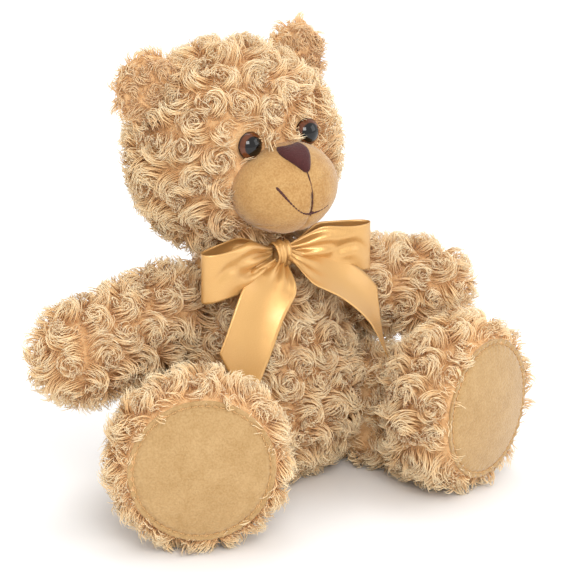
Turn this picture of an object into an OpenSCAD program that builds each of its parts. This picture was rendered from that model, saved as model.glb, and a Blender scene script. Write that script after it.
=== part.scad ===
// Seated jointed teddy bear with a ribbon bow.
// +Z is up, the bear faces -Y and its left side is +X. The origin is the middle of its seat.
// Every plush cover is a thick shell: its outer face is the middle of the curly pile,
// its inner face is the woven backing. A disc joint holds the head and each limb.

/* [Plush] */
// Thickness of the plush, from backing to the middle of the pile
plush_t = 8; // [5:0.5:10]
// Thickness of the cover where it lies flat inside a joint
flat_t = 2; // [1:0.5:2.5]
// Room between a cover and the stuffing in it
stuffing_gap = 0.3; // [0.2:0.1:0.6]
// Room between the faces of two covers that turn on each other
joint_gap = 0.4; // [0.3:0.1:0.8]

/* [Torso] */
// Width of the belly
belly_w = 120; // [108:1:132]
// Depth of the belly, front to back
belly_d = 106; // [98:1:116]
// Height of the middle of the belly above the seat
belly_z = 43; // [40:1:47]
// Height of the belly, before the seat is flattened
belly_h = 102; // [96:1:108]
// Width of the chest
chest_w = 84; // [74:1:94]
// Depth of the chest
chest_d = 74; // [66:1:80]
// Height of the middle of the chest above the lap
chest_over = 31.5; // [27.5:0.5:35.5]
// Height of the chest
chest_h = 56; // [50:1:60]

/* [Neck] */
// Height of the joint between torso and head above the lap
neck_over = 54.5; // [52.5:0.5:56.5]
// Distance of the neck joint behind the middle of the seat
neck_y = 6; // [2:1:10]
// Radius of the neck stub
neck_r = 26; // [24:0.5:27]
// Height of the neck stub
neck_h = 9; // [8:0.5:11]

/* [Head] */
// Width of the head
head_w = 109; // [100:1:120]
// Depth of the head
head_d = 103; // [96:1:112]
// Height of the head
head_h = 110; // [104:1:118]
// Height of the middle of the head above the neck joint
head_over = 47.5; // [45:0.5:50]
// Distance of the middle of the head behind the middle of the seat
head_y = 20; // [16:1:24]
// How far the face is tipped up, in degrees
head_nod = 6; // [0:1:8]
// How far the head leans to the bear's right, in degrees
head_lean = 3; // [0:1:5]
// How far the face is turned to the bear's left, in degrees
head_turn = 3.5; // [0:0.5:6]

/* [Face] */
// Width of the muzzle
muzzle_w = 56; // [50:1:62]
// Height of the muzzle
muzzle_h = 45; // [40:1:50]
// Depth of the muzzle
muzzle_d = 50; // [44:1:54]
// Distance of the muzzle's middle in front of the head's middle
muzzle_y = 43; // [40:1:46]
// Distance of the muzzle's middle below the head's middle
muzzle_z = 14; // [11:1:17]
// Width of the nose
nose_w = 17; // [14:1:20]
// Height of the nose
nose_h = 13; // [10:1:16]
// Thickness of the nose
nose_t = 3; // [2:0.5:4]
// Diameter of the thread that draws the mouth
mouth_thread = 1.2; // [0.8:0.1:1.8]
// Width of the smile
mouth_w = 27; // [20:1:30]

/* [Eyes] */
// Diameter of an eye
eye_d = 14; // [12:0.5:16]
// Height of the dome of an eye
eye_dome = 4.5; // [3.5:0.5:5.5]
// Distance between the middles of the eyes
eye_spread = 34; // [31:1:38]
// Height of the eyes above the head's middle
eye_z = 10; // [9:0.5:13]
// Distance of the eyes' rims in front of the head's middle
eye_y = 42; // [40:0.5:44]
// Diameter of an eye's shank
shank_d = 4; // [3:0.5:5]
// Length of an eye's shank
shank_l = 13; // [11:0.5:16]
// Diameter of an eye's washer
eye_washer_d = 13; // [10:0.5:14]
// Thickness of an eye's washer
eye_washer_t = 1.5; // [1:0.1:2]
// Play between a shank and the washer on it
press_play = 0.02; // [0.01:0.01:0.05]

/* [Ears] */
// Width of an ear
ear_w = 42; // [36:1:48]
// Height of an ear
ear_h = 44; // [38:1:50]
// Thickness of an ear
ear_t = 19; // [14:1:22]
// Distance of an ear's middle from the middle of the head
ear_x = 44; // [40:1:48]
// Height of an ear's middle above the middle of the head
ear_z = 38; // [34:1:42]
// How far an ear leans outward, in degrees
ear_lean = 28; // [15:1:40]
// Depth of the dish in the front of an ear
ear_dish = 5; // [3:0.5:6]

/* [Arms] */
// Distance of a shoulder's middle from the middle of the bear
shoulder_x = 47; // [45:1:50]
// Height of a shoulder's middle above the lap
shoulder_over = 28.5; // [27.5:0.5:31.5]
// Radius of the upper arm
shoulder_r = 23.5; // [22:0.5:24]
// Distance of a paw's middle from the middle of the bear
paw_x = 100; // [96:1:106]
// Distance of a paw's middle in front of the middle of the seat
paw_y = 5; // [4:1:10]
// Height of a paw's middle above the lap
paw_over = 17.5; // [11.5:0.5:20]
// Radius of a paw
paw_r = 25.5; // [23:0.5:26]
// Slope of the shoulder joint's axis above level, in degrees
shoulder_slope = 30; // [26:1:34]
// Distance from the upper arm's middle in to the shoulder joint
shoulder_in = 12; // [10:0.5:14]

/* [Legs] */
// Distance of a hip's middle from the middle of the bear
hip_x = 46; // [44:1:50]
// Distance of a hip's middle in front of the middle of the seat
hip_y = 6; // [2:1:10]
// Radius of the thigh
thigh_r = 31; // [28:0.5:32]
// Outward turn of a leg, in degrees
leg_splay = 23; // [20:1:26]
// Distance from the hip's middle to the sole
leg_l = 98; // [92:1:106]
// Distance from the thigh's middle in to the hip joint
hip_in = 14; // [13:0.5:16]
// Radius of the foot
foot_r = 44; // [41:0.5:46]
// Length of the full foot, behind the sole
foot_l = 22; // [18:1:26]
// Radius of the sole's pad
pad_r = 35; // [32:0.5:37]
// Thickness of the sole's pad at its rim
pad_t = 2; // [1.5:0.5:3]
// Rise of the sole's pad in its middle
pad_rise = 5; // [3:0.5:7]
// Room round the thigh in the hollow at the torso's side
hip_room = 3; // [2:0.5:4]
// Distance from the hip joint's axis within which the leg's inner side is flat
hip_flat_r = 55; // [53:1:58]

/* [Joints] */
// Diameter of a limb joint's discs
disc_d = 28; // [24:1:30]
// Diameter of the neck joint's discs
neck_disc_d = 38; // [32:1:42]
// Thickness of a joint disc
disc_t = 2.4; // [2:0.1:3]
// Diameter of a joint's stem
stem_d = 7; // [6:0.5:8]
// Play between a stem and the washer that it turns in
stem_play = 0.05; // [0.03:0.01:0.1]
// Diameter of the lock ring on a stem
ring_d = 14; // [12:0.5:16]
// Thickness of the lock ring
ring_t = 3; // [2:0.5:4]

/* [Ribbon] */
// Width of the ribbon
ribbon_w = 25; // [20:1:28]
// Thickness of the gathered ribbon
ribbon_t = 1.6; // [1:0.2:2]
// Length of a loop of the bow
loop_l = 48; // [40:1:50]
// Thickness of a loop of the bow
loop_fat = 14; // [10:1:16]
// How far the left loop is turned to the front, in degrees
loop_turn_left = 4; // [0:1:10]
// How far the right loop is turned to the front, in degrees
loop_turn_right = 12; // [0:1:16]
// Width of the knot
knot_w = 9; // [7:0.5:11]
// Height of the knot
knot_h = 13; // [10:0.5:16]
// How far the left tail hangs down, as a share of a leg's length
drop_left = 0.45; // [0.38:0.01:0.47]
// How far the right tail hangs down, as a share of a leg's length
drop_right = 0.52; // [0.44:0.01:0.54]

/* [Hidden] */
left = 1;
right = -1;
// larger than the whole bear, for cutting away one side of a plane
far = 400;
soft_fn = 26;
round_fn = 48;
// room round the hardware in a stuffing
pocket_gap = 0.6;
// gap between two pieces of one body that only lie against each other
lie_gap = 0.1;
// height of the lowest point of a leg above the seat
leg_clear = 0.5;
// top of the thighs, on which the arms and the chest stand
lap_z = 2 * thigh_r + leg_clear;
chest_z = lap_z + chest_over;
neck_z = lap_z + neck_over;
head_z = neck_z + head_over;
shoulder_z = lap_z + shoulder_over;
paw_z = lap_z + paw_over;
// how far the chest and the shoulders stand behind the middle of the seat
chest_y = 2;
plush = "#d7b483";
plush_dark = "#b98f5c";
suede = "#e0b97f";
batting = "#f4f1ea";
board = "#b79a6e";
plastic = "#e8e8e4";
satin = "#e1b464";

// the plane of each joint, as its middle and the turn that takes +Z to its axis
shoulder_c = [shoulder_x, chest_y, shoulder_z];
shoulder_axis = [cos(shoulder_slope), 0, sin(shoulder_slope)];
shoulder_mid = shoulder_c - shoulder_in * shoulder_axis;
hip_c = [hip_x, -hip_y, thigh_r + leg_clear];
hip_axis = [cos(leg_splay), sin(leg_splay), 0];
hip_mid = hip_c - hip_in * hip_axis;
sole_z = foot_r + leg_clear;
ankle_at = leg_l / 2;
ankle_r = thigh_r;

// ---- helpers ----

module side(s) {
    if (s > 0) children();
    else mirror([1, 0, 0]) children();
}

module egg(c, w, d, h) {
    translate(c) scale([w, d, h] / 2) sphere(r = 1, $fn = soft_fn);
}

// half space on the +Z side of the local plane z = at
module beyond(at) {
    translate([-far / 2, -far / 2, at]) cube([far, far, far]);
}

module at_neck() {
    translate([0, neck_y, neck_z]) children();
}

module at_shoulder() {
    translate(shoulder_mid) rotate([0, 90 - shoulder_slope, 0]) children();
}

// local X points forward along the leg, Y points up and Z points out along the axis
module at_hip() {
    translate(hip_mid) rotate([0, 0, leg_splay]) rotate([90, 0, 90]) rotate([0, 0, 180])
        mirror([0, 1, 0]) children();
}

module along_leg() {
    translate(hip_c) rotate([0, 0, leg_splay]) rotate([90, 0, 0]) children();
}

module on_head() {
    translate([0, head_y, head_z]) rotate([-head_nod, -head_lean, head_turn]) children();
}

// ---- joint hardware, drawn with the joint plane at z = 0 and the limb at +Z ----

disc_from = joint_gap / 2 + flat_t + lie_gap;
ring_from = disc_from + disc_t + lie_gap * 3;
// length of stem that shows behind its lock ring
stem_end = 1;
// how far a cut runs past what it cuts
past = 1;

module joint_disc(d) {
    translate([0, 0, disc_from]) cylinder(d = d, h = disc_t, $fn = round_fn);
    translate([0, 0, -ring_from - ring_t - stem_end])
        cylinder(d = stem_d, h = ring_from + ring_t + stem_end + disc_from, $fn = round_fn);
}

module joint_washer(d) {
    difference() {
        translate([0, 0, -disc_from - disc_t]) cylinder(d = d, h = disc_t, $fn = round_fn);
        translate([0, 0, -disc_from - disc_t - past])
            cylinder(d = stem_d + 2 * stem_play, h = disc_t + 2 * past, $fn = round_fn);
    }
}

module joint_ring() {
    difference() {
        translate([0, 0, -ring_from - ring_t]) cylinder(d = ring_d, h = ring_t, $fn = round_fn);
        translate([0, 0, -ring_from - ring_t - past])
            cylinder(d = stem_d + 2 * press_play, h = ring_t + 2 * past, $fn = round_fn);
    }
}

// bore for the stem through the covers
module joint_bore() {
    translate([0, 0, -disc_from - disc_t])
        cylinder(d = stem_d + 2 * pocket_gap, h = 2 * (disc_from + disc_t), $fn = round_fn);
}

// room for the disc, inside the limb
module limb_pocket(d) {
    translate([0, 0, joint_gap / 2 + flat_t])
        cylinder(d = d + 2 * pocket_gap, h = lie_gap + disc_t + pocket_gap, $fn = round_fn);
}

// room for the washer, the lock ring and the stem's end, inside the torso
module torso_pocket(d) {
    reach = ring_from + ring_t + stem_end + pocket_gap;
    translate([0, 0, -reach])
        cylinder(d = d + 2 * pocket_gap, h = reach - joint_gap / 2 - flat_t, $fn = round_fn);
}

// ---- torso ----

module torso_body(inset) {
    hull() {
        egg([0, 0, belly_z], belly_w - 2 * inset, belly_d - 2 * inset, belly_h - 2 * inset);
        egg([0, chest_y, chest_z], chest_w - 2 * inset, chest_d - 2 * inset, chest_h - 2 * inset);
    }
}

// the space that a leg sweeps at the torso's side, grown by g
module hip_hollow(g) {
    r = thigh_r + hip_room + g;
    at_hip() translate([0, 0, -joint_gap / 2 - g]) linear_extrude(far / 4) {
        circle(r = r, $fn = round_fn);
        translate([0, -far / 2]) square([far / 2, far / 2 + r]);
        translate([-r, -far / 2]) square([2 * r, far / 2]);
    }
}

// what the joints, the seat and the neck cut from the torso, each face g further in
module torso_cuts(g) {
    for (s = [left, right]) side(s) {
        hip_hollow(g);
        at_shoulder() beyond(-joint_gap / 2 - g);
    }
    translate([0, 0, g]) mirror([0, 0, 1]) beyond(0);
    difference() {
        translate([0, 0, neck_z - neck_h - g]) beyond(0);
        at_neck() cylinder(r = neck_r - g, h = far, center = true, $fn = round_fn);
    }
    translate([0, 0, neck_z - joint_gap / 2 - g]) beyond(0);
}

module torso_pockets() {
    at_neck() torso_pocket(neck_disc_d);
    for (s = [left, right]) side(s) {
        at_shoulder() torso_pocket(disc_d);
        at_hip() torso_pocket(disc_d);
    }
}

module torso_cover() {
    color(plush) difference() {
        torso_body(0);
        torso_cuts(0);
        difference() {
            torso_body(plush_t);
            torso_cuts(flat_t);
        }
        at_neck() joint_bore();
        torso_pockets();
        for (s = [left, right]) side(s) {
            at_shoulder() joint_bore();
            at_hip() joint_bore();
        }
    }
}

module torso_stuffing() {
    color(batting) difference() {
        torso_body(plush_t + stuffing_gap);
        torso_cuts(flat_t + stuffing_gap);
        torso_pockets();
    }
}

// ---- head ----

// the chin and nape fill out the head down to the neck joint: how much wider and deeper than
// the neck's disc, how high, and where its middle is from the joint
chin_more_w = 24;
chin_more_d = 20;
chin_h = 46;
chin_up = 20;
chin_fore = 2;
// share of the muzzle's depth that is sunk into the head
muzzle_sunk = 0.4;

module skull(inset) {
    hull() {
        on_head() egg([0, 0, 0], head_w - 2 * inset, head_d - 2 * inset, head_h - 2 * inset);
        egg([0, neck_y - chin_fore, neck_z + chin_up], neck_disc_d + chin_more_w - 2 * inset,
            neck_disc_d + chin_more_d - 2 * inset, chin_h - 2 * inset);
    }
}

module muzzle_egg(grow) {
    hull() on_head() egg([0, -muzzle_y, -muzzle_z], muzzle_w + 2 * grow, muzzle_d + 2 * grow,
        muzzle_h + 2 * grow);
}

module eye_place(s) {
    on_head() translate([s * eye_spread / 2, -eye_y, eye_z]) rotate([90, 0, 0]) children();
}

module head_cover() {
    color(plush) difference() {
        skull(0);
        translate([0, 0, neck_z + joint_gap / 2]) mirror([0, 0, 1]) beyond(0);
        difference() {
            skull(plush_t);
            translate([0, 0, neck_z + joint_gap / 2 + flat_t]) mirror([0, 0, 1]) beyond(0);
        }
        muzzle_egg(lie_gap);
        at_neck() {
            joint_bore();
            limb_pocket(neck_disc_d);
        }
        for (s = [left, right]) eye_place(s) {
            translate([0, 0, -lie_gap]) cylinder(d = eye_d + 2 * lie_gap, h = plush_t * 2, $fn = round_fn);
            translate([0, 0, -plush_t]) cylinder(d = shank_d + 2 * lie_gap, h = plush_t, $fn = round_fn);
        }
    }
}

module head_stuffing() {
    color(batting) difference() {
        skull(plush_t + stuffing_gap);
        translate([0, 0, neck_z + joint_gap / 2 + flat_t + stuffing_gap])
            mirror([0, 0, 1]) beyond(0);
        muzzle_egg(stuffing_gap);
        at_neck() limb_pocket(neck_disc_d);
        for (s = [left, right]) eye_place(s) translate([0, 0, -shank_l - pocket_gap])
            cylinder(d = eye_washer_d + 2 * pocket_gap, h = shank_l * 3, $fn = round_fn);
    }
}

module muzzle() {
    color(suede) difference() {
        muzzle_egg(0);
        for (s = [left, right]) eye_place(s) translate([0, 0, -shank_l - pocket_gap])
            cylinder(d = eye_washer_d + 2 * pocket_gap, h = shank_l * 3, $fn = round_fn);
        at_neck() limb_pocket(neck_disc_d);
        on_head() translate([0, muzzle_d * muzzle_sunk - muzzle_y, 0]) rotate([-90, 0, 0]) beyond(0);
    }
}

// a slice of the skin just outside the muzzle, t thick
module muzzle_skin(t) {
    difference() {
        muzzle_egg(lie_gap + t);
        muzzle_egg(lie_gap);
    }
}

// height of the nose's middle above the head's middle, and the radius of its corners
nose_z = 3;
nose_round = 3;
// the smile: its radius as a share of its width, how high its ends reach as a share of that,
// and how far below the nose it lies as a share of the muzzle's height
smile_curve = 0.6;
smile_reach = 0.62;
smile_drop = 0.48;

module nose() {
    color("#46201f") intersection() {
        difference() {
            muzzle_skin(nose_t);
            skull(-lie_gap);
        }
        on_head() translate([0, -muzzle_y, nose_z]) rotate([90, 0, 0]) linear_extrude(muzzle_d)
            offset(r = nose_round, $fn = round_fn) polygon([
                [-nose_w / 2 + nose_round, nose_h / 2 - nose_round],
                [nose_w / 2 - nose_round, nose_h / 2 - nose_round],
                [0, -nose_h / 2 + nose_round]
            ]);
    }
}

module mouth_stitching() {
    r = mouth_w * smile_curve;
    low = nose_z - nose_h / 2 - muzzle_h * smile_drop;
    color("#5a3420") intersection() {
        muzzle_skin(mouth_thread);
        on_head() translate([0, -muzzle_y, 0]) rotate([90, 0, 0]) linear_extrude(muzzle_d) {
            translate([-mouth_thread / 2, low])
                square([mouth_thread, nose_z - nose_h / 2 - lie_gap - low]);
            intersection() {
                translate([0, low + r]) difference() {
                    circle(r = r, $fn = round_fn);
                    circle(r = r - mouth_thread, $fn = round_fn);
                }
                translate([-mouth_w / 2, low - 1]) square([mouth_w, r * smile_reach]);
            }
        }
    }
}

// length of shank that shows behind an eye's washer
shank_end = 2.5;

// glossy dome with a straight shank that passes through the cloth
module eye(s) {
    dome_r = (pow(eye_d / 2, 2) + pow(eye_dome, 2)) / (2 * eye_dome);
    color("#2a1a12") eye_place(s) {
        intersection() {
            translate([0, 0, eye_dome - dome_r]) sphere(r = dome_r, $fn = round_fn);
            cylinder(r = eye_d, h = eye_d, $fn = round_fn);
        }
        translate([0, 0, -shank_l]) cylinder(d = shank_d, h = shank_l, $fn = round_fn);
    }
}

module eye_washer(s) {
    color(plastic) eye_place(s) translate([0, 0, shank_end - shank_l]) difference() {
        cylinder(d = eye_washer_d, h = eye_washer_t, $fn = round_fn);
        translate([0, 0, -past])
            cylinder(d = shank_d + 2 * press_play, h = eye_washer_t + 2 * past, $fn = round_fn);
    }
}

// ---- ears: a furry back and a dished front, sewn together and to the head ----

// how far an ear's front is turned outward, in degrees
ear_turn = 12;
// the seam between an ear's back and front, behind its middle
ear_split = -1.5;
// radius of the ball that the dish is cut with, as a share of the ear's width, and how far
// below the ear's middle the dish is deepest
dish_share = 0.62;
dish_down = 2;

module at_ear(s) {
    on_head() translate([s * ear_x, 0, ear_z]) rotate([0, s * ear_lean, s * ear_turn]) children();
}

module ear_egg(s) {
    difference() {
        at_ear(s) hull() egg([0, 0, 0], ear_w, ear_t, ear_h);
        skull(-lie_gap);
    }
}

module ear_back(s) {
    color(plush) difference() {
        ear_egg(s);
        at_ear(s) translate([0, ear_split + lie_gap / 2, 0]) rotate([90, 0, 0]) beyond(0);
    }
}

module ear_lining(s) {
    dish = ear_w * dish_share;
    color(plush_dark) difference() {
        ear_egg(s);
        at_ear(s) translate([0, ear_split - lie_gap / 2, 0]) rotate([-90, 0, 0]) beyond(0);
        at_ear(s) translate([0, -ear_t / 2 - dish + ear_dish, -dish_down]) sphere(r = dish, $fn = round_fn);
    }
}

// ---- arms ----

module arm_body(inset) {
    hull() {
        translate(shoulder_c) sphere(r = shoulder_r - inset, $fn = soft_fn);
        translate([paw_x, -paw_y, paw_z]) sphere(r = paw_r - inset, $fn = soft_fn);
    }
}

module arm_cover(s) {
    color(plush) side(s) difference() {
        arm_body(0);
        at_shoulder() mirror([0, 0, 1]) beyond(-joint_gap / 2);
        difference() {
            arm_body(plush_t);
            at_shoulder() mirror([0, 0, 1]) beyond(-joint_gap / 2 - flat_t);
        }
        at_shoulder() {
            joint_bore();
            limb_pocket(disc_d);
        }
    }
}

module arm_stuffing(s) {
    color(batting) side(s) difference() {
        arm_body(plush_t + stuffing_gap);
        at_shoulder() mirror([0, 0, 1]) beyond(-joint_gap / 2 - flat_t - stuffing_gap);
        at_shoulder() limb_pocket(disc_d);
    }
}

// ---- legs ----

// how much higher the leg's middle line is at the ankle than at the hip
ankle_up = 1;
// length of the foot's ball as a share of its height
foot_squash = 0.7;
// the rim of the sole: how far it is inside the foot's radius at its back, outside the pad's
// radius at its front, and how long it is behind the pad
rim_in = 2;
rim_out = 5;
rim_l = 4;

// the leg's inner side is flat next to the torso, to g outside the joint plane
module hip_face(g) {
    at_hip() translate([0, 0, joint_gap / 2 + g - far / 4])
        cylinder(r = hip_flat_r + g, h = far / 4, $fn = round_fn);
}

// drawn with the leg's middle line on +Z and the way up on +Y
module leg_body(inset) {
    along_leg() {
        hull() {
            sphere(r = thigh_r - inset, $fn = soft_fn);
            translate([0, ankle_up, ankle_at]) sphere(r = ankle_r - inset, $fn = soft_fn);
        }
        hull() {
            translate([0, ankle_up, ankle_at]) sphere(r = ankle_r - inset, $fn = soft_fn);
            translate([0, sole_z - hip_c[2], leg_l - foot_l]) scale([1, 1, foot_squash])
                sphere(r = foot_r - inset, $fn = soft_fn);
            translate([0, sole_z - hip_c[2], leg_l - pad_t - pad_rise - inset / 2 - rim_l])
                cylinder(r1 = foot_r - rim_in - inset, r2 = pad_r + rim_out - inset, h = rim_l + pad_t,
                    $fn = soft_fn);
        }
    }
}

module leg_cover(s) {
    color(plush) side(s) difference() {
        leg_body(0);
        hip_face(0);
        difference() {
            leg_body(plush_t);
            hip_face(flat_t);
        }
        at_hip() {
            joint_bore();
            limb_pocket(disc_d);
        }
        at_sole() translate([0, 0, -far / 16]) cylinder(r = pad_r + lie_gap, h = far / 8, $fn = round_fn);
    }
}

module at_sole() {
    along_leg() translate([0, sole_z - hip_c[2], leg_l - pad_t - pad_rise]) children();
}

module leg_stuffing(s) {
    color(batting) side(s) difference() {
        leg_body(plush_t + stuffing_gap);
        hip_face(flat_t + stuffing_gap);
        at_hip() limb_pocket(disc_d);
        at_sole() beyond(-stuffing_gap);
    }
}

module foot_pad(s) {
    dome_r = (pow(pad_r, 2) + pow(pad_rise, 2)) / (2 * pad_rise);
    color(suede) side(s) at_sole() rotate_extrude($fn = round_fn * 2) {
        square([pad_r, pad_t + press_play]);
        intersection() {
            translate([0, pad_t + pad_rise - dome_r]) circle(r = dome_r, $fn = round_fn * 8);
            translate([0, pad_t]) square([pad_r, pad_rise]);
        }
    }
}

// ---- joint pieces ----

module neck_disc() {
    color(board) at_neck() joint_disc(neck_disc_d);
}

module neck_washer() {
    color(board) at_neck() joint_washer(neck_disc_d);
}

module neck_lock_ring() {
    color(plastic) at_neck() joint_ring();
}

module shoulder_disc(s) {
    color(board) side(s) at_shoulder() joint_disc(disc_d);
}

module shoulder_washer(s) {
    color(board) side(s) at_shoulder() joint_washer(disc_d);
}

module shoulder_lock_ring(s) {
    color(plastic) side(s) at_shoulder() joint_ring();
}

module hip_disc(s) {
    color(board) side(s) at_hip() joint_disc(disc_d);
}

module hip_washer(s) {
    color(board) side(s) at_hip() joint_washer(disc_d);
}

module hip_lock_ring(s) {
    color(plastic) side(s) at_hip() joint_ring();
}

// ---- ribbon ----

band_h = neck_h - joint_gap - 2 * lie_gap;
// height of the knot's middle above the neck joint
knot_up = 4;
knot_y = neck_y - neck_r - lie_gap * 3 - ribbon_t - knot_w / 2;
knot_z = neck_z + knot_up;
// room between the knot and the inner end of a loop, beyond half the knot's width
loop_from = 1.2;
// the gathered inner end of a loop: its depth, and its height as a share of the knot's
pinch_d = 3;
pinch_share = 0.7;
// length of that end before the loop opens, and the width of the slit where it starts
pinch_l = 5;
slit = 1;
// a tail starts this share of the ribbon's width wide, and each row is a thin slab of it
gather_share = 1 / 3;
slab = 0.4;

module ribbon_neckband() {
    color(satin) translate([0, neck_y, neck_z - neck_h + lie_gap]) difference() {
        cylinder(r = neck_r + lie_gap + ribbon_t, h = band_h, $fn = round_fn * 2);
        translate([0, 0, -past]) cylinder(r = neck_r + lie_gap, h = band_h + 2 * past, $fn = round_fn * 2);
    }
}

module bow_knot() {
    color(satin) hull() egg([0, knot_y, knot_z], knot_w + 2 * past, knot_w, knot_h);
}

// a ring of ribbon, pinched at the knot and as wide as the ribbon at its fold
module bow_loop(s, turn) {
    end_x = loop_l - loop_fat / 2;
    pinch = knot_h * pinch_share;
    color(satin) side(s) translate([knot_w / 2 + loop_from, knot_y, knot_z]) rotate([0, 0, -turn])
        difference() {
            hull() {
                translate([0, -pinch_d / 2, -pinch / 2]) cube([slit, pinch_d, pinch]);
                translate([end_x, 0, -ribbon_w / 2]) cylinder(d = loop_fat, h = ribbon_w, $fn = soft_fn);
            }
            hull() {
                translate([pinch_l, -slit / 2, -ribbon_w]) cube([slit / 2, slit, ribbon_w * 2]);
                translate([end_x, 0, -ribbon_w])
                    cylinder(d = loop_fat - 2 * ribbon_t, h = ribbon_w * 2, $fn = soft_fn);
            }
        }
}

// a tail hangs from the knot over the belly; each row is the middle of its width: how far to
// the bear's left, how far behind the seat's middle, and its share of the way down
tail_left = [[7, -32, 0.18], [20, -42, 0.36], [36, -49, 0.68], [47, -52, 1]];
tail_right = [[-5, -32, 0.18], [-15, -43, 0.45], [-28, -48, 0.76], [-39, -49, 1]];
// how far each row is turned from the one above it, in degrees
tail_turn_left = 12;
tail_turn_right = -9;

module tail(route, turn, drop) {
    for (i = [0:len(route) - 2]) hull() for (j = [i, i + 1])
        translate([route[j][0], route[j][1], knot_z - route[j][2] * drop]) rotate([0, 0, turn * j])
            cube([j == 0 ? ribbon_w * gather_share : ribbon_w, ribbon_t, slab], center = true);
}

module ribbon_tail_left() {
    color(satin) tail(tail_left, tail_turn_left, drop_left * leg_l);
}

module ribbon_tail_right() {
    color(satin) tail(tail_right, tail_turn_right, drop_right * leg_l);
}

torso_cover();
torso_stuffing();
head_cover();
head_stuffing();
muzzle();
nose();
mouth_stitching();
eye(left);  // eye_left
eye(right);  // eye_right
eye_washer(left);  // eye_washer_left
eye_washer(right);  // eye_washer_right
ear_back(left);  // ear_back_left
ear_back(right);  // ear_back_right
ear_lining(left);  // ear_lining_left
ear_lining(right);  // ear_lining_right
arm_cover(left);  // arm_cover_left
arm_cover(right);  // arm_cover_right
arm_stuffing(left);  // arm_stuffing_left
arm_stuffing(right);  // arm_stuffing_right
leg_cover(left);  // leg_cover_left
leg_cover(right);  // leg_cover_right
leg_stuffing(left);  // leg_stuffing_left
leg_stuffing(right);  // leg_stuffing_right
foot_pad(left);  // foot_pad_left
foot_pad(right);  // foot_pad_right
neck_disc();
neck_washer();
neck_lock_ring();
shoulder_disc(left);  // shoulder_disc_left
shoulder_disc(right);  // shoulder_disc_right
shoulder_washer(left);  // shoulder_washer_left
shoulder_washer(right);  // shoulder_washer_right
shoulder_lock_ring(left);  // shoulder_lock_ring_left
shoulder_lock_ring(right);  // shoulder_lock_ring_right
hip_disc(left);  // hip_disc_left
hip_disc(right);  // hip_disc_right
hip_washer(left);  // hip_washer_left
hip_washer(right);  // hip_washer_right
hip_lock_ring(left);  // hip_lock_ring_left
hip_lock_ring(right);  // hip_lock_ring_right
ribbon_neckband();
bow_knot();
bow_loop(left, loop_turn_left);  // bow_loop_left
bow_loop(right, loop_turn_right);  // bow_loop_right
ribbon_tail_left();
ribbon_tail_right();
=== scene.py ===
import math

import bmesh
import bpy
from mathutils import Matrix, Vector


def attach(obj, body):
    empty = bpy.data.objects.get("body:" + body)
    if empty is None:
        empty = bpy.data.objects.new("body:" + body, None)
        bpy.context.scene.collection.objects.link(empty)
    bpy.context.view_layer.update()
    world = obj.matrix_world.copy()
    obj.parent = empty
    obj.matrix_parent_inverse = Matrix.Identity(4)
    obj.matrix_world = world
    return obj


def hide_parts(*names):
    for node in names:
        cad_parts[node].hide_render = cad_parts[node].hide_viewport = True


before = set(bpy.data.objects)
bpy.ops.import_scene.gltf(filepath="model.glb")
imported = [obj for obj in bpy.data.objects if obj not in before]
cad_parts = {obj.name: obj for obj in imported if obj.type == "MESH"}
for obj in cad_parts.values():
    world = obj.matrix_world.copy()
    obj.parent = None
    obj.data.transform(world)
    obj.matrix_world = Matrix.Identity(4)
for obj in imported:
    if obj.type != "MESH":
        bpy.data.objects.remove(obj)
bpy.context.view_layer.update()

# ---- Camera ----
# A long lens a metre and a half away, a little above the bear and to its right.
# The bear fills the frame, so the picture is moved by a few hundredths of its width.

aim = Vector((0, -0.016, 0.106))
turned, raised, away = math.radians(-31), math.radians(18), 1.481
lens = bpy.data.cameras.new("camera")
lens.lens, lens.sensor_width = 183.8, 36
lens.shift_x, lens.shift_y = 0.036, -0.021
lens.clip_end = 20
camera = bpy.data.objects.new("camera", lens)
level = math.cos(raised)
toward_camera = Vector((math.sin(turned) * level, -math.cos(turned) * level, math.sin(raised)))
camera.location = aim + away * toward_camera
camera.rotation_euler = toward_camera.to_track_quat("Z", "Y").to_euler()
bpy.context.scene.collection.objects.link(camera)
bpy.context.scene.camera = camera

# ---- Floor and light ----
# The bear sits on a white table in a white room. Three large soft lights hang round it,
# and a white surround fills the shadows between the curls.


def soft_light(name, place, size, power, colour=(1, 1, 1)):
    lamp = bpy.data.lights.new(name, "AREA")
    lamp.shape, lamp.size, lamp.energy, lamp.color = "SQUARE", size, power, colour
    holder = bpy.data.objects.new(name, lamp)
    holder.location = place
    holder.rotation_euler = (Vector(place) - aim).to_track_quat("Z", "Y").to_euler()
    bpy.context.scene.collection.objects.link(holder)


soft_light("window_light", (-0.5, -1.25, 1.0), 0.6, 12, (1, 0.98, 0.95))
soft_light("fill_light", (1.2, -0.9, 0.7), 0.9, 4)
soft_light("top_light", (0.2, 0.5, 1.5), 0.9, 7)
bpy.context.scene.view_settings.view_transform = "Standard"

surround = bpy.data.worlds.new("surround")
surround.use_nodes = True
surround.node_tree.nodes["Background"].inputs["Color"].default_value = (1, 1, 1, 1)
surround.node_tree.nodes["Background"].inputs["Strength"].default_value = 1.0
bpy.context.scene.world = surround

table = bmesh.new()
bmesh.ops.create_grid(table, x_segments=8, y_segments=8, size=6)
floor_mesh = bpy.data.meshes.new("floor")
table.to_mesh(floor_mesh)
floor = bpy.data.objects.new("floor", floor_mesh)
bpy.context.scene.collection.objects.link(floor)
white = bpy.data.materials.new("white_table")
white.use_nodes = True
white.node_tree.nodes["Principled BSDF"].inputs["Base Color"].default_value = (0.93, 0.93, 0.93, 1)
white.node_tree.nodes["Principled BSDF"].inputs["Roughness"].default_value = 0.8
floor_mesh.materials.append(white)

# ---- Joint discs, washers and lock rings ----
# Each joint is a pair of pressed fibreboard discs on a stem, one in the torso and one in the
# head or limb, with a moulded lock ring pushed on behind. Only a joint taken apart shows them.


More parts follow.
